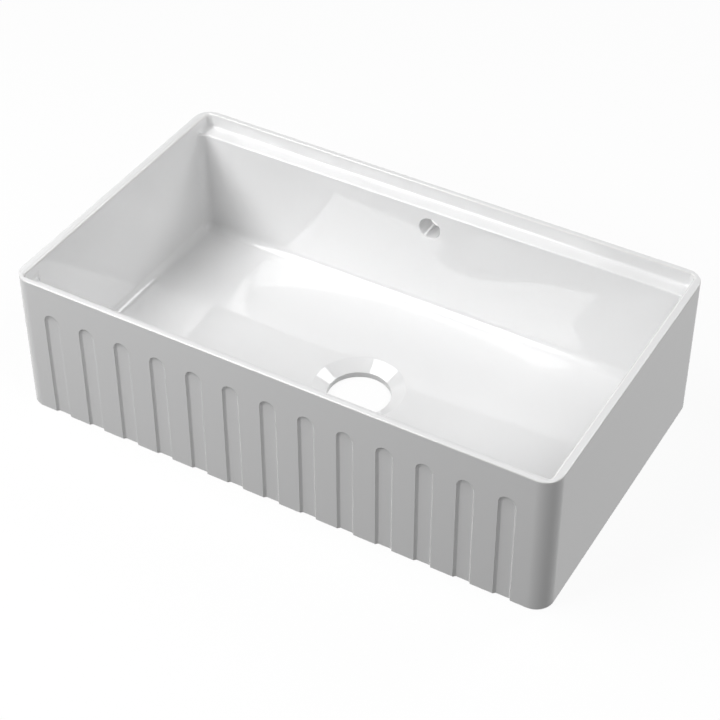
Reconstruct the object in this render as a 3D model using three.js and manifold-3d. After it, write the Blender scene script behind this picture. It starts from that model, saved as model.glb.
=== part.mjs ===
// A farmhouse apron-front kitchen sink in glazed fireclay, in millimetres, +Z up.
// The origin is the centre of the base: +X runs along the sink, -Y is the fluted front.
//
// The sink is drawn once as a whole form and then parted along the seams between the clay
// sections that it is built up from: fluted apron, plain back panel, two ends, a floor with its
// waste seat, and the bowl walls with the ledges that carry a board or a rack.

import * as THREE from 'three';
import { mergeVertices } from 'three/addons/utils/BufferGeometryUtils.js';
import Module from 'manifold-3d';

const wasm = await Module();
wasm.setup();

// Outside of the sink
const SINK_LENGTH = 795;
const SINK_WIDTH = 460;
const SINK_HEIGHT = 220;
const CORNER_RADIUS = 25.5;
const RIM_EDGE_RADIUS = 1.8;
const BASE_EDGE_RADIUS = 1.2;

// Rim: the ends are thicker than the front and the back
const END_RIM = 12.5;
const END_RIM_ROUND = 4.5;
const SIDE_RIM = 8;
const SIDE_RIM_ROUND = 2;
const RIM_CORNER_RADIUS = 8;

// Ledges along the front and the back, below the rim
const LEDGE_DROP = 22;
const LEDGE_WIDTH = 23;
const LEDGE_THICKNESS = 9;
const LEDGE_COVE = 3;
const LEDGE_END_COVE = 9;
const LEDGE_NOSE_RADIUS = 2;

// Bowl: its walls lean out towards the rim, and its floor falls to the waste
const FLOOR_THICKNESS = 30;
const FLOOR_FALL = 8.5;
const FLOOR_BORDER = 2;
const FLOOR_COVE = 12;
const BOWL_CORNER_RADIUS = 13;
const END_DRAFT = 4.5;
const SIDE_DRAFT = 2.5;

// Waste outlet: a straight throat under a conical seat for the strainer's flange
const WASTE_BORE = 90;
const WASTE_THROAT = 10;
const WASTE_RECESS = 130;
const WASTE_SEAT_BORDER = 8;
const WASTE_CHAMFER = 1.5;

// Overflow hole through the back, lined by a clay sleeve
const OVERFLOW_BORE = 33;
const OVERFLOW_DROP = 53.5;
const OVERFLOW_LIP = 1.5;
const OVERFLOW_SLEEVE_WALL = 5;

// Flutes in the apron, open at the foot and round at the head
const FLUTE_PITCH = 56.2;
const FLUTE_WIDTH = 24.5;
const FLUTE_DEPTH = 3.5;
const FLUTE_COVE = 4;
const FLUTE_DROP = 45;
const FLUTE_END_MARGIN = 60;

// Seams between the clay sections
const SKIN_THICKNESS = 11;
const SEAM = 0.3;
const SEAM_MARGIN = 2;

// Fineness of the facets
const CORNER_STEPS = 8;
const EDGE_STEPS = 3;
const COVE_STEPS = 6;
const FLUTE_HEAD_STEPS = 12;
const WASTE_SIDES = 64;
const OVERFLOW_SIDES = 40;

// Places that follow from the sizes above
const HALF_LENGTH = SINK_LENGTH / 2;
const HALF_WIDTH = SINK_WIDTH / 2;
const LEDGE_LEVEL = SINK_HEIGHT - LEDGE_DROP;
const LEDGE_NOSE = HALF_WIDTH - SIDE_RIM - LEDGE_WIDTH;
const OVERFLOW_LEVEL = SINK_HEIGHT - OVERFLOW_DROP;
const COVE_TOP = FLOOR_THICKNESS + FLOOR_COVE;
const WASTE_BRIM = FLOOR_THICKNESS - FLOOR_FALL;
const END_SEAM = HALF_LENGTH - END_RIM - END_DRAFT - BOWL_CORNER_RADIUS - SEAM_MARGIN;
const SKIN_SEAM = HALF_WIDTH - SKIN_THICKNESS;
const FLOOR_SEAM = COVE_TOP + SEAM_MARGIN;
const LEDGE_SEAM = LEDGE_LEVEL - LEDGE_THICKNESS;
const CUT_MARGIN = 5;
const FALL_OVERRUN = 0.03;

// ---------------------------------------------------------------- solids from three.js shapes

/** Makes a manifold solid of a closed geometry. */
function solidOf(geometry) {
  const bare = geometry.clone();
  bare.deleteAttribute('normal');
  bare.deleteAttribute('uv');
  const merged = mergeVertices(bare, 1e-4);
  return new wasm.Manifold(new wasm.Mesh({
    numProp: 3,
    vertProperties: new Float32Array(merged.attributes.position.array),
    triVerts: new Uint32Array(merged.index.array),
  }));
}

/** Joins rings of the same number of points, each convex and counter-clockwise, into a closed solid. */
function loft(rings) {
  const sides = rings[0].length;
  const positions = rings.flat().flatMap((point) => [point.x, point.y, point.z]);
  const index = [];
  for (let ring = 0; ring < rings.length - 1; ring += 1) {
    for (let side = 0; side < sides; side += 1) {
      const low = ring * sides + side;
      const lowNext = ring * sides + (side + 1) % sides;
      index.push(low, lowNext, lowNext + sides, low, lowNext + sides, low + sides);
    }
  }
  const top = (rings.length - 1) * sides;
  for (let side = 1; side < sides - 1; side += 1) {
    index.push(0, side + 1, side);
    index.push(top, top + side, top + side + 1);
  }
  const geometry = new THREE.BufferGeometry();
  geometry.setAttribute('position', new THREE.Float32BufferAttribute(positions, 3));
  geometry.setIndex(index);
  return solidOf(geometry);
}

/** A level rectangle with round corners, as one ring of a loft. */
function roundedRing(halfX, halfY, radius, z) {
  const ring = [];
  for (let corner = 0; corner < 4; corner += 1) {
    const signX = corner === 0 || corner === 3 ? 1 : -1;
    const signY = corner < 2 ? 1 : -1;
    for (let step = 0; step <= CORNER_STEPS; step += 1) {
      const angle = (corner + step / CORNER_STEPS) * Math.PI / 2;
      const x = signX * (halfX - radius) + radius * Math.cos(angle);
      const y = signY * (halfY - radius) + radius * Math.sin(angle);
      ring.push(new THREE.Vector3(x, y, z));
    }
  }
  return ring;
}

/** A solid turned about +Z from [radius, height] pairs that start and end on the axis. */
function turned(profile, sides) {
  const points = profile.map(([radius, height]) => new THREE.Vector2(radius, height));
  const geometry = new THREE.LatheGeometry(points, sides);
  geometry.rotateX(Math.PI / 2);
  return solidOf(geometry);
}

/** A box between two corners, given as [x, y, z]. */
function box(low, high) {
  const size = high.map((value, axis) => value - low[axis]);
  const geometry = new THREE.BoxGeometry(...size);
  geometry.translate(...low.map((value, axis) => value + size[axis] / 2));
  return solidOf(geometry);
}

/** A round bar between two heights about +Z. */
function bar(radius, low, high, sides) {
  return turned([[0, low], [radius, low], [radius, high], [0, high]], sides);
}

/** The heights at which a quarter round from low to low + radius is cut into facets. */
function quarterHeights(low, radius, steps, closeAtTop) {
  const heights = [];
  for (let step = 0; step <= steps; step += 1) {
    const angle = step / steps * Math.PI / 2;
    const rise = closeAtTop ? Math.sin(angle) : 1 - Math.cos(angle);
    heights.push(low + radius * rise);
  }
  return heights;
}

/** How far a quarter round of this radius steps back when it is that deep into it. */
function roundInset(radius, depth) {
  const into = THREE.MathUtils.clamp(depth, 0, radius);
  return radius - Math.sqrt(radius * radius - into * into);
}

/** Sorted heights without near doubles. */
function levels(...heights) {
  const sorted = heights.flat().sort((a, b) => a - b);
  return sorted.filter((height, place) => place === 0 || height - sorted[place - 1] > 1e-3);
}

// ---------------------------------------------------------------- the whole form

/** The outside: upright faces, round corners, a softened rim and foot. */
function outerForm() {
  const heights = levels(
    quarterHeights(0, BASE_EDGE_RADIUS, EDGE_STEPS, false),
    quarterHeights(SINK_HEIGHT - RIM_EDGE_RADIUS, RIM_EDGE_RADIUS, EDGE_STEPS, true),
  );
  return loft(heights.map((z) => {
    const foot = roundInset(BASE_EDGE_RADIUS, BASE_EDGE_RADIUS - z);
    const rim = roundInset(RIM_EDGE_RADIUS, z - (SINK_HEIGHT - RIM_EDGE_RADIUS));
    const inset = foot + rim;
    return roundedRing(HALF_LENGTH - inset, HALF_WIDTH - inset, CORNER_RADIUS - inset, z);
  }));
}

/** Where the inner face of an end wall is at height z: it leans out from the floor to the rim. */
function endFace(z) {
  const lean = (SINK_HEIGHT - z) / (SINK_HEIGHT - FLOOR_THICKNESS);
  return HALF_LENGTH - END_RIM - END_DRAFT * lean;
}

/** Where the inner face of the front or back wall of the bowl is at height z. */
function sideFace(z) {
  const lean = (LEDGE_LEVEL - z) / (LEDGE_LEVEL - FLOOR_THICKNESS);
  return LEDGE_NOSE - SIDE_DRAFT * lean;
}

/** The hollow below the ledges, with a cove round its floor and a soft nose on each ledge. */
function bowlHollow() {
  const noseFoot = LEDGE_LEVEL - LEDGE_NOSE_RADIUS;
  const heights = levels(
    quarterHeights(FLOOR_THICKNESS, FLOOR_COVE, COVE_STEPS, false),
    quarterHeights(noseFoot, LEDGE_NOSE_RADIUS, EDGE_STEPS, true),
    LEDGE_LEVEL + LEDGE_END_COVE,
  );
  return loft(heights.map((z) => {
    const cove = roundInset(FLOOR_COVE, COVE_TOP - z);
    const nose = roundInset(LEDGE_NOSE_RADIUS, z - noseFoot);
    return roundedRing(endFace(z) - cove, sideFace(z) - cove + nose, BOWL_CORNER_RADIUS - cove, z);
  }));
}

/** The wider hollow above the ledges, coved at their backs and ends and rounded at the rim. */
function rimHollow() {
  const heights = levels(
    quarterHeights(LEDGE_LEVEL, LEDGE_END_COVE, EDGE_STEPS, false),
    quarterHeights(LEDGE_LEVEL, LEDGE_COVE, EDGE_STEPS, false),
    quarterHeights(SINK_HEIGHT - END_RIM_ROUND, END_RIM_ROUND, EDGE_STEPS, true),
    quarterHeights(SINK_HEIGHT - SIDE_RIM_ROUND, SIDE_RIM_ROUND, EDGE_STEPS, true),
  );
  const rings = heights.map((z) => {
    const endCove = roundInset(LEDGE_END_COVE, LEDGE_LEVEL + LEDGE_END_COVE - z);
    const sideCove = roundInset(LEDGE_COVE, LEDGE_LEVEL + LEDGE_COVE - z);
    const endRound = roundInset(END_RIM_ROUND, z - (SINK_HEIGHT - END_RIM_ROUND));
    const sideRound = roundInset(SIDE_RIM_ROUND, z - (SINK_HEIGHT - SIDE_RIM_ROUND));
    const halfX = endFace(z) - endCove + endRound;
    const halfY = HALF_WIDTH - SIDE_RIM - sideCove + sideRound;
    return roundedRing(halfX, halfY, RIM_CORNER_RADIUS, z);
  });
  const above = new THREE.Vector3(0, 0, CUT_MARGIN);
  rings.push(rings.at(-1).map((point) => point.clone().add(above)));
  return loft(rings);
}

/** The fall of the floor: straight lines from an oval beside the coves down to the round waste brim. */
function floorFall() {
  const halfX = endFace(FLOOR_THICKNESS) - FLOOR_COVE - FLOOR_BORDER;
  const halfY = sideFace(FLOOR_THICKNESS) - FLOOR_COVE - FLOOR_BORDER;
  const brim = WASTE_RECESS / 2;
  const ringAt = (share, lift) => Array.from({ length: WASTE_SIDES }, (_, side) => {
    const angle = side / WASTE_SIDES * 2 * Math.PI;
    const oval = 1 / Math.hypot(Math.cos(angle) / halfX, Math.sin(angle) / halfY);
    const reach = brim + share * (oval - brim);
    const z = WASTE_BRIM + share * FLOOR_FALL + lift;
    return new THREE.Vector3(reach * Math.cos(angle), reach * Math.sin(angle), z);
  });
  return loft([ringAt(-FALL_OVERRUN, 0), ringAt(1, 0), ringAt(1, CUT_MARGIN)]);
}

/** The outlet: a chamfered throat and, above it, the conical recess. */
function wasteHollow() {
  const bore = WASTE_BORE / 2;
  const recess = WASTE_RECESS / 2;
  return turned([
    [0, -CUT_MARGIN],
    [bore + WASTE_CHAMFER, -CUT_MARGIN],
    [bore + WASTE_CHAMFER, 0],
    [bore, WASTE_CHAMFER],
    [bore, WASTE_THROAT],
    [recess, WASTE_BRIM],
    [recess, FLOOR_THICKNESS],
    [0, FLOOR_THICKNESS],
  ], WASTE_SIDES);
}

/** Turns a solid made about +Z so that it points back along +Y through the overflow's centre. */
function atOverflow(solid) {
  return solid.rotate([-90, 0, 0]).translate([0, 0, OVERFLOW_LEVEL]);
}

/** The overflow hole, with a softened lip in the bowl and another at the back. */
function overflowHollow() {
  const bore = OVERFLOW_BORE / 2;
  const mouth = sideFace(OVERFLOW_LEVEL);
  const profile = [[0, mouth - CUT_MARGIN], [bore + OVERFLOW_LIP, mouth - CUT_MARGIN]];
  for (const z of quarterHeights(mouth, OVERFLOW_LIP, EDGE_STEPS, true)) {
    profile.push([bore + roundInset(OVERFLOW_LIP, mouth + OVERFLOW_LIP - z), z]);
  }
  for (const z of quarterHeights(HALF_WIDTH - OVERFLOW_LIP, OVERFLOW_LIP, EDGE_STEPS, true)) {
    profile.push([bore + roundInset(OVERFLOW_LIP, z - (HALF_WIDTH - OVERFLOW_LIP)), z]);
  }
  profile.push([bore + OVERFLOW_LIP, HALF_WIDTH + CUT_MARGIN], [0, HALF_WIDTH + CUT_MARGIN]);
  return atOverflow(turned(profile, OVERFLOW_SIDES));
}

/** One flute: a round-headed channel with a flat bed and coved sides, open at the foot. */
function flute(x) {
  const headCentre = SINK_HEIGHT - FLUTE_DROP - FLUTE_WIDTH / 2;
  const ringAt = (y, halfWidth) => {
    const ring = [new THREE.Vector3(x - halfWidth, y, -CUT_MARGIN)];
    ring.push(new THREE.Vector3(x + halfWidth, y, -CUT_MARGIN));
    for (let step = 0; step <= FLUTE_HEAD_STEPS; step += 1) {
      const angle = step / FLUTE_HEAD_STEPS * Math.PI;
      const across = x + halfWidth * Math.cos(angle);
      ring.push(new THREE.Vector3(across, y, headCentre + halfWidth * Math.sin(angle)));
    }
    return ring;
  };
  const rings = [];
  for (let step = 0; step <= EDGE_STEPS; step += 1) {
    const angle = step / EDGE_STEPS * Math.PI / 2;
    const halfWidth = FLUTE_WIDTH / 2 - FLUTE_COVE * (1 - Math.sin(angle));
    rings.push(ringAt(-HALF_WIDTH + FLUTE_DEPTH * Math.cos(angle), halfWidth));
  }
  rings.push(ringAt(-HALF_WIDTH - CUT_MARGIN, FLUTE_WIDTH / 2));
  return loft(rings);
}

/** All the flutes, centred on the apron. */
function flutes() {
  const run = SINK_LENGTH - 2 * FLUTE_END_MARGIN;
  const count = 1 + Math.floor(run / FLUTE_PITCH);
  const first = -FLUTE_PITCH * (count - 1) / 2;
  return Array.from({ length: count }, (_, place) => flute(first + place * FLUTE_PITCH));
}

/** The sink before it is parted: the outside less every hollow. */
function wholeSink() {
  const hollows = [bowlHollow(), rimHollow(), floorFall(), wasteHollow(), overflowHollow(), ...flutes()];
  return hollows.reduce((form, hollow) => form.subtract(hollow), outerForm());
}

// ---------------------------------------------------------------- parting along the seams

const sink = wholeSink();
const beyond = { x: HALF_LENGTH + CUT_MARGIN, y: HALF_WIDTH + CUT_MARGIN, z: SINK_HEIGHT + CUT_MARGIN };
const half = SEAM / 2;

/** What the sink has between two corners. */
function sectionOf(low, high) {
  return sink.intersect(box(low, high));
}

/** One end: its wall, both outer corners and the ends of the ledges. side is -1 for left, 1 for right. */
function endSection(side) {
  const near = side * (END_SEAM + half);
  const far = side * beyond.x;
  const low = [Math.min(near, far), -beyond.y, -CUT_MARGIN];
  const high = [Math.max(near, far), beyond.y, beyond.z];
  return sectionOf(low, high);
}

/** The outer skin of the front (-1) or back (1), from the foot to the rim. */
function skinSection(side) {
  const near = side * (SKIN_SEAM + half);
  const far = side * beyond.y;
  const low = [-END_SEAM + half, Math.min(near, far), -CUT_MARGIN];
  const high = [END_SEAM - half, Math.max(near, far), beyond.z];
  return sectionOf(low, high);
}

/** The part of the front (-1) or back (1) of the bowl between two heights, inside the outer skin. */
function innerSection(side, bottom, top) {
  const far = side * (SKIN_SEAM - half);
  const low = [-END_SEAM + half, Math.min(0, far), bottom + half];
  const high = [END_SEAM - half, Math.max(0, far), top - half];
  return sectionOf(low, high);
}

/** The floor between the skins and the ends, up to the top of its cove. */
function floorSection() {
  const low = [-END_SEAM + half, -SKIN_SEAM + half, -CUT_MARGIN];
  const high = [END_SEAM - half, SKIN_SEAM - half, FLOOR_SEAM - half];
  return sectionOf(low, high);
}

/** The plug of clay round the outlet, grown or shrunk by a clearance. */
function wasteCore(clearance) {
  const radius = WASTE_RECESS / 2 + WASTE_SEAT_BORDER + clearance;
  return bar(radius, -CUT_MARGIN, FLOOR_SEAM, WASTE_SIDES);
}

/** The plug of clay round the overflow, grown or shrunk by a clearance. */
function overflowCore(clearance) {
  const radius = OVERFLOW_BORE / 2 + OVERFLOW_SLEEVE_WALL + clearance;
  return atOverflow(bar(radius, 0, beyond.y, OVERFLOW_SIDES));
}

// ---------------------------------------------------------------- named meshes

/** Glossy white glaze over fireclay. */
function whiteGlaze() {
  return new THREE.MeshStandardMaterial({ color: 0xf1f1f0, roughness: 0.12, metalness: 0 });
}

/** A named mesh of a solid, with its own origin at a place on the sink. */
function piece(name, solid, place = [0, 0, 0]) {
  const { vertProperties, triVerts } = solid.getMesh();
  const geometry = new THREE.BufferGeometry();
  geometry.setAttribute('position', new THREE.Float32BufferAttribute(vertProperties, 3));
  geometry.setIndex(Array.from(triVerts));
  geometry.translate(...place.map((value) => -value));
  geometry.computeVertexNormals();
  const mesh = new THREE.Mesh(geometry, whiteGlaze());
  mesh.name = name;
  mesh.position.set(...place);
  return mesh;
}

const outside = new THREE.Group();
outside.add(
  piece('fluted_apron', skinSection(-1), [0, -HALF_WIDTH, 0]),
  piece('back_panel', skinSection(1).subtract(overflowCore(half)), [0, HALF_WIDTH, 0]),
  piece('left_end', endSection(-1), [-HALF_LENGTH, 0, 0]),
  piece('right_end', endSection(1), [HALF_LENGTH, 0, 0]),
);

const bowl = new THREE.Group();
bowl.add(
  piece('bowl_floor', floorSection().subtract(wasteCore(half))),
  piece('waste_seat', floorSection().intersect(wasteCore(-half))),
  piece('bowl_front_wall', innerSection(-1, FLOOR_SEAM, LEDGE_SEAM)),
  piece('bowl_back_wall', innerSection(1, FLOOR_SEAM, LEDGE_SEAM).subtract(overflowCore(half))),
  piece('front_ledge', innerSection(-1, LEDGE_SEAM, beyond.z), [0, 0, LEDGE_LEVEL]),
  piece('back_ledge', innerSection(1, LEDGE_SEAM, beyond.z).subtract(overflowCore(half)), [0, 0, LEDGE_LEVEL]),
  piece('overflow_sleeve', sink.intersect(overflowCore(-half)), [0, HALF_WIDTH, OVERFLOW_LEVEL]),
);

const apronSink = new THREE.Group();
apronSink.add(outside, bowl);

export default apronSink;
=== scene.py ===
"""A farmhouse apron-front sink in white glazed fireclay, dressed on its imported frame, in metres.

The fired sink is one body. It is modelled whole, as a block less its hollows, and then parted
into the clay sections that its maker joins, so that each section keeps a node of its own.
"""
import math

import bmesh
import bpy
from mathutils import Euler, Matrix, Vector


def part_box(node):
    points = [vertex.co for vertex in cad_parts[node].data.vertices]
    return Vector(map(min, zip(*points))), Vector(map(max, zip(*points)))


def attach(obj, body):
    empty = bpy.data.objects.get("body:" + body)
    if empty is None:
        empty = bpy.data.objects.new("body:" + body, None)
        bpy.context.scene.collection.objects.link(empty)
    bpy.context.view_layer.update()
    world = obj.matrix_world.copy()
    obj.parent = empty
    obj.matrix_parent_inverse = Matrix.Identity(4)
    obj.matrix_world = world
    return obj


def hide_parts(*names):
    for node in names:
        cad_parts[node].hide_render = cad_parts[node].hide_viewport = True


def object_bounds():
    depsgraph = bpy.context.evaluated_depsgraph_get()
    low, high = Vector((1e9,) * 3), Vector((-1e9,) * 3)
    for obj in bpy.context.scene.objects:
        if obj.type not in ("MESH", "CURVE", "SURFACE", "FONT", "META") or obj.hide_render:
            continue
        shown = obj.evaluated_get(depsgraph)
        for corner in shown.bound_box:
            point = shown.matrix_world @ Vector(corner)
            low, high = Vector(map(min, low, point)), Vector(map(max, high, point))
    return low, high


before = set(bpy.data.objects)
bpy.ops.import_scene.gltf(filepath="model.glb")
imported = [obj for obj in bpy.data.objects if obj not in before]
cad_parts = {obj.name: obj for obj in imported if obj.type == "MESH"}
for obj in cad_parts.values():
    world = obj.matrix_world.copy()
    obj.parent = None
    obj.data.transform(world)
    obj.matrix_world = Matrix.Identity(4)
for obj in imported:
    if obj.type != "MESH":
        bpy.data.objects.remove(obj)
cad_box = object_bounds()

# ---------------------------------------------------------------- camera
# The view from above the sink's front right, with a long lens, as a studio shot is taken.

photo_camera = bpy.data.cameras.new("photo_camera")
photo_camera.sensor_width = 36
photo_camera.lens = 96.7287
photo_camera.shift_x = 0.0045
photo_camera.shift_y = -0.0651
camera = bpy.data.objects.new("photo_camera", photo_camera)
camera.location = (1.00254, -1.72912, 1.80744)
camera.rotation_euler = Euler([math.radians(turn) for turn in (50.4202, 0.1128, 30.0904)])
bpy.context.scene.collection.objects.link(camera)
bpy.context.scene.camera = camera

# ---------------------------------------------------------------- clay block
# The outside of the sink: a slab-built block of fireclay with upright faces and round corners.
# Its top edge is softened by hand, and its foot is ground nearly sharp after the firing.

MM = 0.001
TINY = 0.01 * MM
LOW, HIGH = cad_box
# A direction counts as parallel to an axis when more than this share of it runs along the axis.
PARALLEL = 0.9
CORNER_RADIUS = 25.5 * MM
CORNER_STEPS = 20
RIM_EDGE_RADIUS = 1.8 * MM
RIM_EDGE_STEPS = 4
BASE_EDGE_RADIUS = 1.2 * MM
BASE_EDGE_STEPS = 3


def settled(name):
    """The piece just made, named, with its place, turn and size taken into its mesh."""
    bpy.context.object.name = name
    bpy.ops.object.transform_apply(location=True, rotation=True, scale=True)
    return bpy.context.object


def block_between(name, low, high):
    """A block from one corner to the other."""
    low, high = Vector(low), Vector(high)
    bpy.ops.object.select_all(action="DESELECT")
    bpy.ops.mesh.primitive_cube_add(size=1, location=(low + high) / 2, scale=high - low)
    return settled(name)


def edit(piece):
    """Opens a piece in edit mode, with no other piece selected."""
    bpy.ops.object.select_all(action="DESELECT")
    piece.select_set(True)
    bpy.context.view_layer.objects.active = piece
    bpy.ops.object.mode_set(mode="EDIT")


def pick(kind, wanted):
    """Selects the edges or faces whose middle, and direction or normal, the rule wants."""
    bpy.ops.mesh.select_mode(type=kind)
    bpy.ops.mesh.select_all(action="DESELECT")
    mesh = bmesh.from_edit_mesh(bpy.context.object.data)
    if kind == "EDGE":
        for edge in mesh.edges:
            start, end = edge.verts[0].co, edge.verts[1].co
            edge.select_set(wanted((start + end) / 2, (end - start).normalized()))
    else:
        for face in mesh.faces:
            face.select_set(wanted(face.calc_center_median(), face.normal))
    mesh.select_flush_mode()
    bmesh.update_edit_mesh(bpy.context.object.data)


def close_edit():
    """Merges doubled points, turns the faces outwards and leaves edit mode."""
    bpy.ops.mesh.select_all(action="SELECT")
    bpy.ops.mesh.remove_doubles(threshold=TINY)
    bpy.ops.mesh.normals_make_consistent(inside=False)
    bpy.ops.object.mode_set(mode="OBJECT")


sink = block_between("sink", LOW, HIGH)
edit(sink)
pick("EDGE", lambda middle, way: abs(way.z) > PARALLEL)
bpy.ops.mesh.bevel(offset=CORNER_RADIUS, segments=CORNER_STEPS, affect="EDGES")
pick("EDGE", lambda middle, way: middle.z > HIGH.z - TINY)
bpy.ops.mesh.bevel(offset=RIM_EDGE_RADIUS, segments=RIM_EDGE_STEPS, affect="EDGES")
pick("EDGE", lambda middle, way: middle.z < LOW.z + TINY)
bpy.ops.mesh.bevel(offset=BASE_EDGE_RADIUS, segments=BASE_EDGE_STEPS, affect="EDGES")
close_edit()

# ---------------------------------------------------------------- bowl
# The bowl is pressed into the block on a mould: its walls lean out a little, so that the mould
# draws, its corners are coved for cleaning, and the ledges' front edges are rolled over.

LEDGE_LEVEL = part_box("back_ledge")[1].z
LEDGE_NOSE = 199 * MM
LEDGE_NOSE_RADIUS = 2 * MM
LEDGE_END_COVE = 9 * MM
END_RIM = 12.5 * MM
FLOOR_LEVEL = 30 * MM
FLOOR_COVE = 12 * MM
FLOOR_COVE_STEPS = 10
BOWL_CORNER_RADIUS = 13 * MM
BOWL_CORNER_STEPS = 12
END_DRAFT = 4.5 * MM
SIDE_DRAFT = 2.5 * MM
QUARTER_STEPS = 8


def end_face(z):
    """Where the inner face of an end wall is at a height."""
    return HIGH.x - END_RIM - END_DRAFT * (HIGH.z - z) / (HIGH.z - FLOOR_LEVEL)


def side_face(z):
    """Where the inner face of the bowl's front or back wall is at a height."""
    return LEDGE_NOSE - SIDE_DRAFT * (LEDGE_LEVEL - z) / (LEDGE_LEVEL - FLOOR_LEVEL)


def quarter(radius, steps=QUARTER_STEPS):
    """Points of a quarter round as (rise, step back), from its upright end to its level end."""
    turns = [step / steps * math.pi / 2 for step in range(steps + 1)]
    return [(radius * math.sin(turn), radius * (1 - math.cos(turn))) for turn in turns]


def raise_through(rings):
    """Extrudes the chosen level face through rings given as (half length, half width, height)."""
    for (length, width, z), (next_length, next_width, next_z) in zip(rings, rings[1:]):
        bpy.ops.mesh.extrude_region_move(TRANSFORM_OT_translate={"value": (0, 0, next_z - z)})
        growth = (next_length / length, next_width / width, 1)
        bpy.ops.transform.resize(value=growth, center_override=(0, 0, next_z))


def cut_with(piece, tool, operation="DIFFERENCE"):
    """Takes a tool's shape out of a piece, or keeps what they share, and throws the tool away."""
    cut = piece.modifiers.new("cut", "BOOLEAN")
    cut.operation = operation
    cut.solver = "EXACT"
    cut.object = tool
    bpy.ops.object.select_all(action="DESELECT")
    bpy.context.view_layer.objects.active = piece
    bpy.ops.object.modifier_apply(modifier=cut.name)
    bpy.data.objects.remove(tool)


nose_foot = LEDGE_LEVEL - LEDGE_NOSE_RADIUS
bowl_half = (end_face(nose_foot), side_face(nose_foot))
bowl = block_between("bowl", (-bowl_half[0], -bowl_half[1], FLOOR_LEVEL), (*bowl_half, nose_foot))
edit(bowl)
pick("FACE", lambda middle, normal: normal.z < -PARALLEL)
floor_growth = (end_face(FLOOR_LEVEL) / bowl_half[0], side_face(FLOOR_LEVEL) / bowl_half[1], 1)
bpy.ops.transform.resize(value=floor_growth, center_override=(0, 0, FLOOR_LEVEL))
pick("EDGE", lambda middle, way: abs(way.z) > PARALLEL)
bpy.ops.mesh.bevel(offset=BOWL_CORNER_RADIUS, segments=BOWL_CORNER_STEPS, affect="EDGES")
pick("EDGE", lambda middle, way: middle.z < FLOOR_LEVEL + TINY)
bpy.ops.mesh.bevel(offset=FLOOR_COVE, segments=FLOOR_COVE_STEPS, affect="EDGES")
pick("FACE", lambda middle, normal: normal.z > PARALLEL and middle.z > nose_foot - TINY)
nose = [(*bowl_half, nose_foot)]
for rise, back in quarter(LEDGE_NOSE_RADIUS)[1:]:
    nose.append((end_face(nose_foot + rise), side_face(nose_foot + rise) + back, nose_foot + rise))
above_cove = LEDGE_LEVEL + LEDGE_END_COVE
nose.append((end_face(above_cove), nose[-1][1], above_cove))
raise_through(nose)
close_edit()
cut_with(sink, bowl)

# ---------------------------------------------------------------- ledges and rim
# Above the ledges the hollow is wider. A broad cove runs up from the ledges to the end walls, a
# small one to the back wall, and the rim's inner edge is rounded, more at the ends.

SIDE_RIM = 8 * MM
SIDE_RIM_ROUND = 2 * MM
END_RIM_ROUND = 4.5 * MM
RIM_CORNER_RADIUS = 8 * MM
RIM_CORNER_STEPS = 10
LEDGE_COVE = 3 * MM
OVER = 5 * MM
# Heights that agree to this many digits are one ring.
HEIGHT_DIGITS = 7


def step_back(radius, depth):
    """How far a quarter round has stepped back from its tangent at a depth into it."""
    into = min(max(depth, 0), radius)
    return radius - math.sqrt(radius * radius - into * into)


def rim_ring(z):
    """The rim hollow's half length and half width at a height, with the height."""
    end_cove = step_back(LEDGE_END_COVE, LEDGE_LEVEL + LEDGE_END_COVE - z)
    side_cove = step_back(LEDGE_COVE, LEDGE_LEVEL + LEDGE_COVE - z)
    end_round = step_back(END_RIM_ROUND, z - (HIGH.z - END_RIM_ROUND))
    side_round = step_back(SIDE_RIM_ROUND, z - (HIGH.z - SIDE_RIM_ROUND))
    return (
        end_face(z) - end_cove + end_round,
        HIGH.y - SIDE_RIM - side_cove + side_round,
        z,
    )


heights = [LEDGE_LEVEL + back for rise, back in quarter(LEDGE_END_COVE)]
heights += [LEDGE_LEVEL + back for rise, back in quarter(LEDGE_COVE)]
heights += [HIGH.z - END_RIM_ROUND + rise for rise, back in quarter(END_RIM_ROUND)]
heights += [HIGH.z - SIDE_RIM_ROUND + rise for rise, back in quarter(SIDE_RIM_ROUND)]
rings = [rim_ring(z) for z in sorted({round(z, HEIGHT_DIGITS) for z in heights})]
rings.append((*rings[-1][:2], HIGH.z + OVER))
bpy.ops.object.select_all(action="DESELECT")
bpy.ops.mesh.primitive_plane_add(size=2, location=(0, 0, LEDGE_LEVEL))
bpy.context.object.scale = (*rings[0][:2], 1)
rim_hollow = settled("rim_hollow")
edit(rim_hollow)
bpy.ops.mesh.select_all(action="SELECT")
bpy.ops.mesh.bevel(offset=RIM_CORNER_RADIUS, segments=RIM_CORNER_STEPS, affect="VERTICES")
pick("FACE", lambda middle, normal: True)
raise_through(rings)
close_edit()
cut_with(sink, rim_hollow)

# ---------------------------------------------------------------- floor falls
# The floor is trowelled so that it falls from an oval beside the coves to the round waste, and
# drains from every corner. The falls start a little inside the waste's recess, which cuts them.

WASTE_BRIM = 21.5 * MM
WASTE_RECESS_RADIUS = 65 * MM
FLOOR_BORDER = 2 * MM
FALL_INNER_SHARE = -0.03
FALL_STEPS = 6
ROUND_SIDES = 128


def open_circle(name, radius, z):
    """A filled level circle, opened in edit mode with its face selected."""
    bpy.ops.object.select_all(action="DESELECT")
    bpy.ops.mesh.primitive_circle_add(
        vertices=ROUND_SIDES, radius=radius, fill_type="NGON", location=(0, 0, z)
    )
    circle = settled(name)
    edit(circle)
    pick("FACE", lambda middle, normal: True)
    return circle


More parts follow.
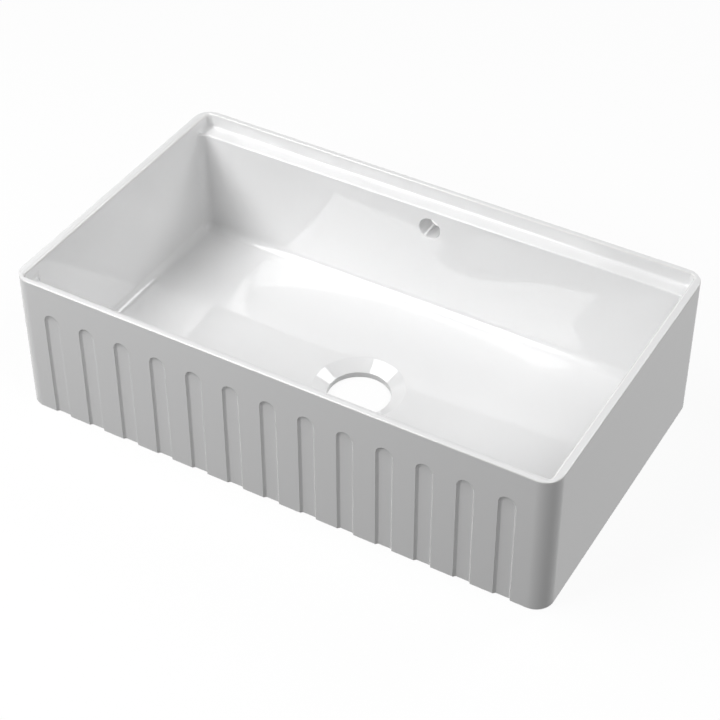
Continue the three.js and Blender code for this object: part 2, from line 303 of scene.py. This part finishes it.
fall_half = (
    end_face(FLOOR_LEVEL) - FLOOR_COVE - FLOOR_BORDER,
    side_face(FLOOR_LEVEL) - FLOOR_COVE - FLOOR_BORDER,
)
shares = [FALL_INNER_SHARE] + [step / FALL_STEPS for step in range(1, FALL_STEPS + 1)]
falls = [
    (
        WASTE_RECESS_RADIUS + share * (fall_half[0] - WASTE_RECESS_RADIUS),
        WASTE_RECESS_RADIUS + share * (fall_half[1] - WASTE_RECESS_RADIUS),
        WASTE_BRIM + share * (FLOOR_LEVEL - WASTE_BRIM),
    )
    for share in shares
]
falls.append((*fall_half, FLOOR_LEVEL + OVER))
fall = open_circle("fall", 1, falls[0][2])
bpy.ops.transform.resize(value=(falls[0][0], falls[0][1], 1), center_override=(0, 0, falls[0][2]))
raise_through(falls)
close_edit()
cut_with(sink, fall)

# ---------------------------------------------------------------- waste outlet
# A straight throat under a conical seat, into which the flange of a basket strainer is bedded.
# Both are turned in the leather-hard floor, and the glaze rounds their edges a little.

WASTE_RADIUS = 45 * MM
WASTE_THROAT = 10 * MM
WASTE_CHAMFER = 1.5 * MM
GLAZE_ROUND = 0.8 * MM
THROAT_EASE = 0.12 * GLAZE_ROUND
BRIM_DROP = 0.25 * GLAZE_ROUND
BRIM_RISE = 0.05 * GLAZE_ROUND

waste = open_circle("waste", WASTE_RADIUS + WASTE_CHAMFER, -OVER)
cone_slope = (WASTE_BRIM - WASTE_THROAT) / (WASTE_RECESS_RADIUS - WASTE_RADIUS)
profile = [
    (WASTE_RADIUS + WASTE_CHAMFER, -OVER),
    (WASTE_RADIUS + WASTE_CHAMFER, 0),
    (WASTE_RADIUS, WASTE_CHAMFER),
    (WASTE_RADIUS, WASTE_THROAT - GLAZE_ROUND / 2),
    (WASTE_RADIUS + THROAT_EASE, WASTE_THROAT),
    (WASTE_RADIUS + GLAZE_ROUND, WASTE_THROAT + cone_slope * GLAZE_ROUND),
    (WASTE_RECESS_RADIUS - GLAZE_ROUND, WASTE_BRIM - cone_slope * GLAZE_ROUND),
    (WASTE_RECESS_RADIUS, WASTE_BRIM - BRIM_DROP),
    (WASTE_RECESS_RADIUS + GLAZE_ROUND, WASTE_BRIM + BRIM_RISE),
    (WASTE_RECESS_RADIUS + GLAZE_ROUND, FLOOR_LEVEL),
]
raise_through([(radius, radius, z) for radius, z in profile])
close_edit()
cut_with(sink, waste)

# ---------------------------------------------------------------- overflow hole
# A round hole through the back wall and the back skin, lined with a clay sleeve, whose mouth in
# the bowl and at the back is rounded by hand.

sleeve_low, sleeve_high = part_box("overflow_sleeve")
OVERFLOW_LEVEL = (sleeve_low.z + sleeve_high.z) / 2
OVERFLOW_RADIUS = 16.5 * MM
OVERFLOW_LIP = 1.5 * MM

mouth = side_face(OVERFLOW_LEVEL)
lip = quarter(OVERFLOW_LIP)
overflow_radii = [(OVERFLOW_RADIUS + OVERFLOW_LIP, mouth - OVER)]
overflow_radii += [(OVERFLOW_RADIUS + back, mouth + OVERFLOW_LIP - rise) for rise, back in reversed(lip)]
overflow_radii += [(OVERFLOW_RADIUS + back, HIGH.y - OVERFLOW_LIP + rise) for rise, back in lip]
overflow_radii.append((OVERFLOW_RADIUS + OVERFLOW_LIP, HIGH.y + OVER))
overflow = open_circle("overflow", *overflow_radii[0])
raise_through([(radius, radius, depth) for radius, depth in overflow_radii])
close_edit()
overflow.rotation_euler.x = math.radians(-90)
overflow.location.z = OVERFLOW_LEVEL
cut_with(sink, settled("overflow"))

# ---------------------------------------------------------------- flutes
# Thirteen round-headed channels down the apron, open at the foot, with flat beds and sloping sides.
# A bed runs out gently at its head. One is shaped and copied at an even pitch, as by one tool.

FLUTES = 13
FLUTE_PITCH = 56.2 * MM
FLUTE_WIDTH = 24.5 * MM
FLUTE_DEPTH = 3.5 * MM
FLUTE_HEAD = HIGH.z - 45 * MM
FLUTE_HEAD_STEPS = 16
FLUTE_HEAD_RUN = 9 * MM
FLUTE_SIDE_PROFILE = 0.33
FLUTE_SIDE_STEPS = 8
# Depths that agree to this many digits are one contour.
DEPTH_DIGITS = 6
# An edge lies in a contour when less than this share of it runs into the depth.
ACROSS = 0.1

first = -FLUTE_PITCH * (FLUTES - 1) / 2
bed = LOW.y + FLUTE_DEPTH
flute = block_between(
    "flute",
    (first - FLUTE_WIDTH / 2, LOW.y - OVER, LOW.z - OVER),
    (first + FLUTE_WIDTH / 2, bed, FLUTE_HEAD),
)
edit(flute)
pick("EDGE", lambda middle, way: abs(way.y) > PARALLEL and middle.z > FLUTE_HEAD - TINY)
bpy.ops.mesh.bevel(offset=FLUTE_WIDTH / 2 - TINY, segments=FLUTE_HEAD_STEPS, affect="EDGES")
bpy.ops.mesh.select_all(action="SELECT")
bpy.ops.mesh.remove_doubles(threshold=3 * TINY)
pick("EDGE", lambda middle, way: middle.y > bed - TINY and middle.z > LOW.z - OVER + TINY)
bpy.ops.mesh.bevel(
    offset=FLUTE_DEPTH - 2 * TINY,
    segments=FLUTE_SIDE_STEPS,
    profile=FLUTE_SIDE_PROFILE,
    affect="EDGES",
)

# The deeper a contour of the head, the further down it is drawn, so that the bed ends in a parabola.
head_foot = FLUTE_HEAD - FLUTE_WIDTH / 2
corners = bmesh.from_edit_mesh(flute.data).verts
head_depths = sorted({round(corner.co.y, DEPTH_DIGITS) for corner in corners if corner.co.y > LOW.y})


def contour_at(depth):
    """The rule for the edges of the head's contour at a depth."""
    return lambda middle, way: (
        abs(middle.y - depth) < TINY and abs(way.y) < ACROSS and middle.z > head_foot
    )


for depth in head_depths:
    sunk = min((depth - LOW.y) / FLUTE_DEPTH, 1)
    drop = max(FLUTE_HEAD_RUN * (1 - math.sqrt(1 - sunk)) - FLUTE_DEPTH * sunk, 0)
    pick("EDGE", contour_at(depth))
    bpy.ops.transform.translate(value=(0, 0, -drop))
close_edit()
row = flute.modifiers.new("row", "ARRAY")
row.count = FLUTES
row.use_relative_offset = False
row.use_constant_offset = True
row.constant_offset_displace = (FLUTE_PITCH, 0, 0)
bpy.ops.object.modifier_apply(modifier=row.name)
cut_with(sink, flute)

# ---------------------------------------------------------------- glaze
# Opaque white glaze, fired on in one coat over the whole sink but the ground foot, which is bare
# buff clay. It levels to a gloss with faint waves, pools a little and draws thin on the rim's edges.

GLAZE_WHITE = (0.862, 0.862, 0.862, 1)
GLAZE_THICK = (0.848, 0.85, 0.853, 1)
GLAZE_THIN = (0.84, 0.83, 0.812, 1)
GLAZE_IOR = 1.66
GLAZE_ROUGHNESS = 0.012
GLOSS_LEAST = 0.6
GLOSS_SPREAD = 0.8
GLAZE_WAVE = 0.015 * MM
RIM_EDGES = HIGH.z - END_RIM_ROUND
CLAY_BUFF = (0.70, 0.63, 0.52, 1)
CLAY_GROG = (0.52, 0.44, 0.35, 1)
GROG_LIMIT = 0.58
CLAY_ROUGHNESS = 0.85
CLAY_GRAIN = 0.3 * MM
FOOT_LINE = 0.6 * MM
FACING_DOWN = -0.5

# How many waves to a metre each pattern has, and how many finer octaves where they aren't two.
POOL_WAVES = 7
SURFACE_WAVES = 18
SURFACE_DETAIL = 1
GLOSS_WAVES = 40
DRAWN_WAVES = 60
WIPED_WAVES = 90
GRAIN_WAVES = 700
GROG_WAVES = 900
CLAY_DETAIL = 4


class Socket:
    """A shader value that Python's operators build Math nodes on."""

    def __init__(self, tree, link=None):
        self.tree = tree
        self.link = link

    def node(self, kind, *inputs, output=0, **settings):
        """Adds a node with these settings, feeds its sockets in order and gives one output."""
        made = self.tree.nodes.new(kind)
        for name, value in settings.items():
            setattr(made, name, value)
        for socket, value in zip(made.inputs, inputs):
            if isinstance(value, Socket):
                self.tree.links.new(value.link, socket)
            elif value is not None:
                socket.default_value = value
        return Socket(self.tree, made.outputs[output])

    def maths(self, operation, *inputs):
        """A Math node's answer."""
        return self.node("ShaderNodeMath", *inputs, operation=operation)

    def noise(self, per_metre, detail=2):
        """Noise at these coordinates, with so many waves to a metre."""
        return self.node("ShaderNodeTexNoise", self, None, per_metre, detail)

    def between(self, first, second):
        """A mix of two colours with this share of the second."""
        inputs = (self, None, None, None, None, None, first, second)
        return self.node("ShaderNodeMix", *inputs, output=2, data_type="RGBA")

    def into(self, socket):
        """Feeds this value to a socket of a node that is already there."""
        self.tree.links.new(self.link, socket)

    def __add__(self, other):
        return self.maths("ADD", self, other)

    def __rsub__(self, other):
        return self.maths("SUBTRACT", other, self)

    def __mul__(self, other):
        return self.maths("MULTIPLY", self, other)

    def __lt__(self, other):
        return self.maths("LESS_THAN", self, other)

    def __gt__(self, other):
        return self.maths("GREATER_THAN", self, other)

    __radd__ = __add__
    __rmul__ = __mul__


glaze = bpy.data.materials.new("white_glaze")
glaze.use_nodes = True
shader = glaze.node_tree.nodes["Principled BSDF"]
shader.inputs["IOR"].default_value = GLAZE_IOR
glaze_nodes = Socket(glaze.node_tree)
place = glaze_nodes.node("ShaderNodeTexCoord", output="Object")
facing = glaze_nodes.node("ShaderNodeTexCoord", output="Normal")
height = place.node("ShaderNodeSeparateXYZ", place, output="Z")
upward = facing.node("ShaderNodeSeparateXYZ", facing, output="Z")

# Where the glaze lies thicker, where it draws thin over the rim's edges, and where it is wiped off.
# An edge shows in its normal's rise u: 4 u (1 - u) is 0 on upright and level faces and 1 between them.
thick = place.noise(POOL_WAVES)
rounded = 4 * upward * (1 - upward)
thin = rounded.maths("MAXIMUM", rounded, 0) * (height > RIM_EDGES) * place.noise(DRAWN_WAVES)
bare = (height + FOOT_LINE * place.noise(WIPED_WAVES) < FOOT_LINE) * (upward < FACING_DOWN)

clay = (place.noise(GROG_WAVES, CLAY_DETAIL) > GROG_LIMIT).between(CLAY_BUFF, CLAY_GROG)
white = thin.between(thick.between(GLAZE_WHITE, GLAZE_THICK), GLAZE_THIN)
bare.between(white, clay).into(shader.inputs["Base Color"])

gloss = GLAZE_ROUGHNESS * (GLOSS_LEAST + GLOSS_SPREAD * place.noise(GLOSS_WAVES))
(gloss + bare * (CLAY_ROUGHNESS - gloss)).into(shader.inputs["Roughness"])

wave = (1 - bare) * GLAZE_WAVE * place.noise(SURFACE_WAVES, SURFACE_DETAIL)
grain = bare * CLAY_GRAIN * place.noise(GRAIN_WAVES, CLAY_DETAIL)
bumped = place.node("ShaderNodeBump", 1.0, 1.0, None, wave + grain)
bumped.into(shader.inputs["Normal"])
sink.data.materials.append(glaze)

# ---------------------------------------------------------------- parting
# The seams of the clay sections lie where the frame has them. Under the glaze the sections meet
# without a gap, so nothing shows of them on the fired sink.

END_SEAM = (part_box("bowl_floor")[1].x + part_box("right_end")[0].x) / 2
SKIN_SEAM = (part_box("bowl_floor")[1].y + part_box("back_panel")[0].y) / 2
FLOOR_SEAM = (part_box("bowl_floor")[1].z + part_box("bowl_back_wall")[0].z) / 2
LEDGE_SEAM = (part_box("bowl_back_wall")[1].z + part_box("back_ledge")[0].z) / 2
SEAT_RADIUS = (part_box("waste_seat")[1].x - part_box("waste_seat")[0].x) / 2
SLEEVE_RADIUS = (sleeve_high.x - sleeve_low.x) / 2
SMOOTH_ANGLE = math.radians(32)


def section(name, low, high):
    """A copy of what the sink has between two corners."""
    piece = sink.copy()
    piece.data = sink.data.copy()
    piece.name = name
    bpy.context.scene.collection.objects.link(piece)
    cut_with(piece, block_between("box", low, high), "INTERSECT")
    return piece


def finish_section(piece, node):
    """Smooths a section under its glaze, hangs it on the root and hides its node's part from the frame.
    """
    edit(piece)
    bpy.ops.mesh.select_all(action="SELECT")
    bpy.ops.mesh.remove_doubles(threshold=TINY / 10)
    bpy.ops.mesh.dissolve_degenerate(threshold=TINY / 10)
    bpy.ops.object.mode_set(mode="OBJECT")
    piece.select_set(True)
    bpy.ops.object.shade_smooth_by_angle(angle=SMOOTH_ANGLE)
    weighting = piece.modifiers.new("weighting", "WEIGHTED_NORMAL")
    weighting.keep_sharp = True
    bpy.ops.object.modifier_apply(modifier=weighting.name)
    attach(piece, "root")
    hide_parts(node)


def overflow_core():
    """A plug that fills the overflow sleeve."""
    bpy.ops.object.select_all(action="DESELECT")
    bpy.ops.mesh.primitive_cylinder_add(
        vertices=ROUND_SIDES,
        radius=SLEEVE_RADIUS,
        depth=HIGH.y,
        location=(0, HIGH.y, OVERFLOW_LEVEL),
        rotation=(math.radians(90), 0, 0),
    )
    return settled("overflow_core")


def waste_core():
    """A plug that fills the waste seat."""
    bpy.ops.object.select_all(action="DESELECT")
    bpy.ops.mesh.primitive_cylinder_add(vertices=ROUND_SIDES, radius=SEAT_RADIUS, depth=2 * FLOOR_SEAM)
    return settled("waste_core")


OUT_X, OUT_Y, OUT_Z = HIGH.x + OVER, HIGH.y + OVER, HIGH.z + OVER

# Fluted apron: the front skin and the front rim, one slab pressed on a fluted mould.
fluted_apron = section("apron_slab", (-END_SEAM, -OUT_Y, -OVER), (END_SEAM, -SKIN_SEAM, OUT_Z))
finish_section(fluted_apron, "fluted_apron")

# Back panel: a plain slab of the same thickness, with the back rim, pierced for the overflow.
back_panel = section("back_slab", (-END_SEAM, SKIN_SEAM, -OVER), (END_SEAM, OUT_Y, OUT_Z))
cut_with(back_panel, overflow_core())
finish_section(back_panel, "back_panel")

# Ends: pressed walls with both outer corners, the coves inside and the ends of the ledges.
left_end = section("left_end_wall", (-OUT_X, -OUT_Y, -OVER), (-END_SEAM, OUT_Y, OUT_Z))
finish_section(left_end, "left_end")
right_end = section("right_end_wall", (END_SEAM, -OUT_Y, -OVER), (OUT_X, OUT_Y, OUT_Z))
finish_section(right_end, "right_end")

# Floor: a thick slab that carries the load, with its falls and the front and back coves.
floor_corners = ((-END_SEAM, -SKIN_SEAM, -OVER), (END_SEAM, SKIN_SEAM, FLOOR_SEAM))
bowl_floor = section("floor_slab", *floor_corners)
cut_with(bowl_floor, waste_core())
finish_section(bowl_floor, "bowl_floor")

# Waste seat: a turned ring luted into the floor, with the throat and the conical recess.
waste_seat = section("waste_ring", *floor_corners)
cut_with(waste_seat, waste_core(), "INTERSECT")
finish_section(waste_seat, "waste_seat")

# Bowl walls: the inner slabs of the front and the back, between the floor and the ledges.
front_wall = section("front_inner_wall", (-END_SEAM, -SKIN_SEAM, FLOOR_SEAM), (END_SEAM, 0, LEDGE_SEAM))
finish_section(front_wall, "bowl_front_wall")
back_wall = section("back_inner_wall", (-END_SEAM, 0, FLOOR_SEAM), (END_SEAM, SKIN_SEAM, LEDGE_SEAM))
cut_with(back_wall, overflow_core())
finish_section(back_wall, "bowl_back_wall")

# Ledges: solid strips on the inner walls, which carry the edges of a board or a rack.
front_ledge = section("front_ledge_strip", (-END_SEAM, -SKIN_SEAM, LEDGE_SEAM), (END_SEAM, 0, OUT_Z))
finish_section(front_ledge, "front_ledge")
back_ledge = section("back_ledge_strip", (-END_SEAM, 0, LEDGE_SEAM), (END_SEAM, SKIN_SEAM, OUT_Z))
cut_with(back_ledge, overflow_core())
finish_section(back_ledge, "back_ledge")

# Overflow sleeve: a short clay tube through both back layers.
sleeve = section("overflow_tube", (-OUT_X, 0, 0), (OUT_X, OUT_Y, OUT_Z))
cut_with(sleeve, overflow_core(), "INTERSECT")
finish_section(sleeve, "overflow_sleeve")
bpy.data.objects.remove(sink)

# ---------------------------------------------------------------- studio
# A round sheet of white paper, swept up at its rim. The camera and the glaze's reflections see it
# near white, with a faint shadow of the sink, but it throws little light back up on the sink.

PAPER_GAP = 0.5 * MM
PAPER_RADIUS = 9
PAPER_SIDES = 96
PAPER_RISE = 5
PAPER_SWEEP = 2
PAPER_SWEEP_STEPS = 8
PAPER_GLOW = 0.92
PAPER_WHITE = (0.95, 0.95, 0.95, 1)
PAPER_BOUNCE = (0.06, 0.06, 0.06, 1)

bpy.ops.object.select_all(action="DESELECT")
bpy.ops.mesh.primitive_circle_add(
    vertices=PAPER_SIDES, radius=PAPER_RADIUS, fill_type="NGON", location=(0, 0, LOW.z - PAPER_GAP)
)
paper = settled("studio_paper")
edit(paper)
pick("EDGE", lambda middle, way: True)
bpy.ops.mesh.extrude_edges_move(TRANSFORM_OT_translate={"value": (0, 0, PAPER_RISE)})
pick("EDGE", lambda middle, way: middle.z < LOW.z)
bpy.ops.mesh.bevel(offset=PAPER_SWEEP, segments=PAPER_SWEEP_STEPS, affect="EDGES")
bpy.ops.object.mode_set(mode="OBJECT")
bpy.ops.object.shade_smooth_by_angle(angle=SMOOTH_ANGLE)

paper_white = bpy.data.materials.new("paper_white")
paper_white.use_nodes = True
tree = paper_white.node_tree
tree.nodes.remove(tree.nodes["Principled BSDF"])
seen = Socket(tree).node("ShaderNodeLightPath", output="Is Camera Ray")
for ray in ("Is Glossy Ray", "Is Transmission Ray"):
    seen = seen.maths("MAXIMUM", seen, seen.node("ShaderNodeLightPath", output=ray))
glow = seen.node("ShaderNodeEmission", (1, 1, 1, 1), 1.0)
shaded = seen.node("ShaderNodeBsdfDiffuse", PAPER_WHITE)
bounce = seen.node("ShaderNodeBsdfDiffuse", PAPER_BOUNCE)
lit = seen.node("ShaderNodeMixShader", PAPER_GLOW, shaded, glow)
face = seen.node("ShaderNodeMixShader", seen, bounce, lit)
face.into(tree.nodes["Material Output"].inputs["Surface"])
paper.data.materials.append(paper_white)

# ---------------------------------------------------------------- lights
# Four soft boxes round the sink: the key at the front left, a taller one at the left, and weaker
# ones at the back and at the right. The room itself is all but dark.

ROOM_STRENGTH = 0.02


def soft_box(name, turn, rise, width, height, strength, away=3.0):
    """A soft box that faces the sink from a compass turn (0 is the back) and a rise in degrees."""
    lamp = bpy.data.lights.new(name, "AREA")
    lamp.shape = "RECTANGLE"
    lamp.size = width
    lamp.size_y = height
    lamp.energy = strength * (math.pi * away) ** 2
    holder = bpy.data.objects.new(name, lamp)
    turn, rise = math.radians(turn), math.radians(rise)
    way = Vector((math.sin(turn) * math.cos(rise), math.cos(turn) * math.cos(rise), math.sin(rise)))
    holder.location = way * away
    holder.rotation_euler = way.to_track_quat("Z", "Y").to_euler()
    bpy.context.scene.collection.objects.link(holder)


soft_box("key_box", turn=211, rise=37, width=1.1, height=1.1, strength=0.44)
soft_box("left_box", turn=250, rise=58, width=1.5, height=1.7, strength=0.46)
soft_box("back_box", turn=34, rise=43, width=1.2, height=1.0, strength=0.22)
soft_box("right_box", turn=105, rise=52, width=1.4, height=1.4, strength=0.27)

room = bpy.data.worlds.new("room")
bpy.context.scene.world = room
room.use_nodes = True
room.node_tree.nodes["Background"].inputs["Color"].default_value = (1, 1, 1, 1)
room.node_tree.nodes["Background"].inputs["Strength"].default_value = ROOM_STRENGTH

bpy.context.scene.view_settings.view_transform = "Standard"
